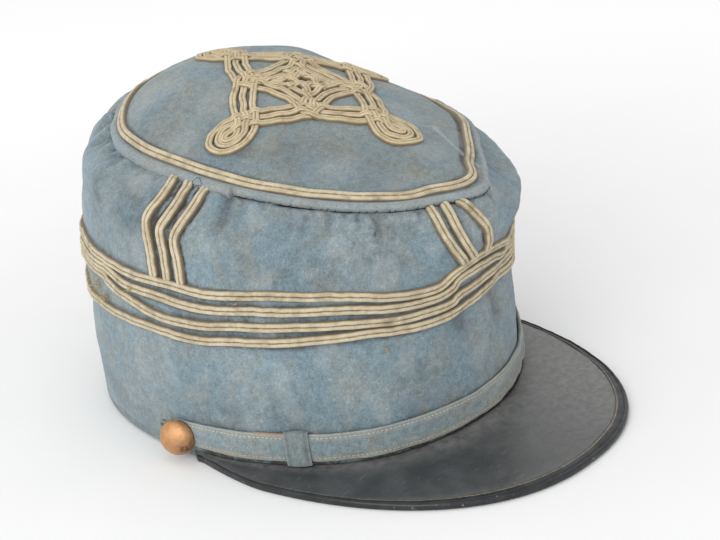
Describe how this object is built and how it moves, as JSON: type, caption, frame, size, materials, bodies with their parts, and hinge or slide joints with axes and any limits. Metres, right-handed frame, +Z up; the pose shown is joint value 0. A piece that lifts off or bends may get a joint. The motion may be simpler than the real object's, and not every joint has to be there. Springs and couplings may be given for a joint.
{
  "type": "kepi cap",
  "caption": "Soft blue felt kepi with a short leather peak, braid rows round the crown, upright braids, an interlaced braid knot on the padded top and a cloth chin strap.",
  "frame": {"origin": "centre of the whole cap in plan, on the surface that it rests on", "axes": "+Z up, -Y towards the peak, +X towards the wearer's left"},
  "size_m": [0.189, 0.258, 0.1447],
  "materials": {
    "crown_cloth": "faded blue felted wool, matt, mottled and stained",
    "strap_cloth": "the same wool, folded and machine stitched near both edges",
    "braid": "soutache braid, beige wool, dirt in the groove",
    "peak_leather": "black glazed leather, worn and dusty",
    "binding_leather": "black leather edge binding, creased",
    "button_brass": "dull domed brass with a dark worn patch"
  },
  "bodies": {
    "root": {"lower_band": "crown_cloth", "upper_side": "crown_cloth", "top": "crown_cloth", "braid_ring_1": "braid", "braid_ring_2": "braid", "braid_ring_3": "braid", "braid_ring_4": "braid", "braid_front_1": "braid", "braid_front_2": "braid", "braid_front_3": "braid", "braid_right_1": "braid", "braid_right_2": "braid", "braid_right_3": "braid", "braid_back_1": "braid", "braid_back_2": "braid", "braid_back_3": "braid", "braid_left_1": "braid", "braid_left_2": "braid", "braid_left_3": "braid", "braid_top_edge": "braid", "top_knot": "braid", "peak": "peak_leather", "peak_binding": "binding_leather", "chin_strap": "strap_cloth", "strap_keeper_right": "strap_cloth", "strap_keeper_left": "strap_cloth", "button_right": "button_brass", "button_left": "button_brass"}
  },
  "joints": []
}
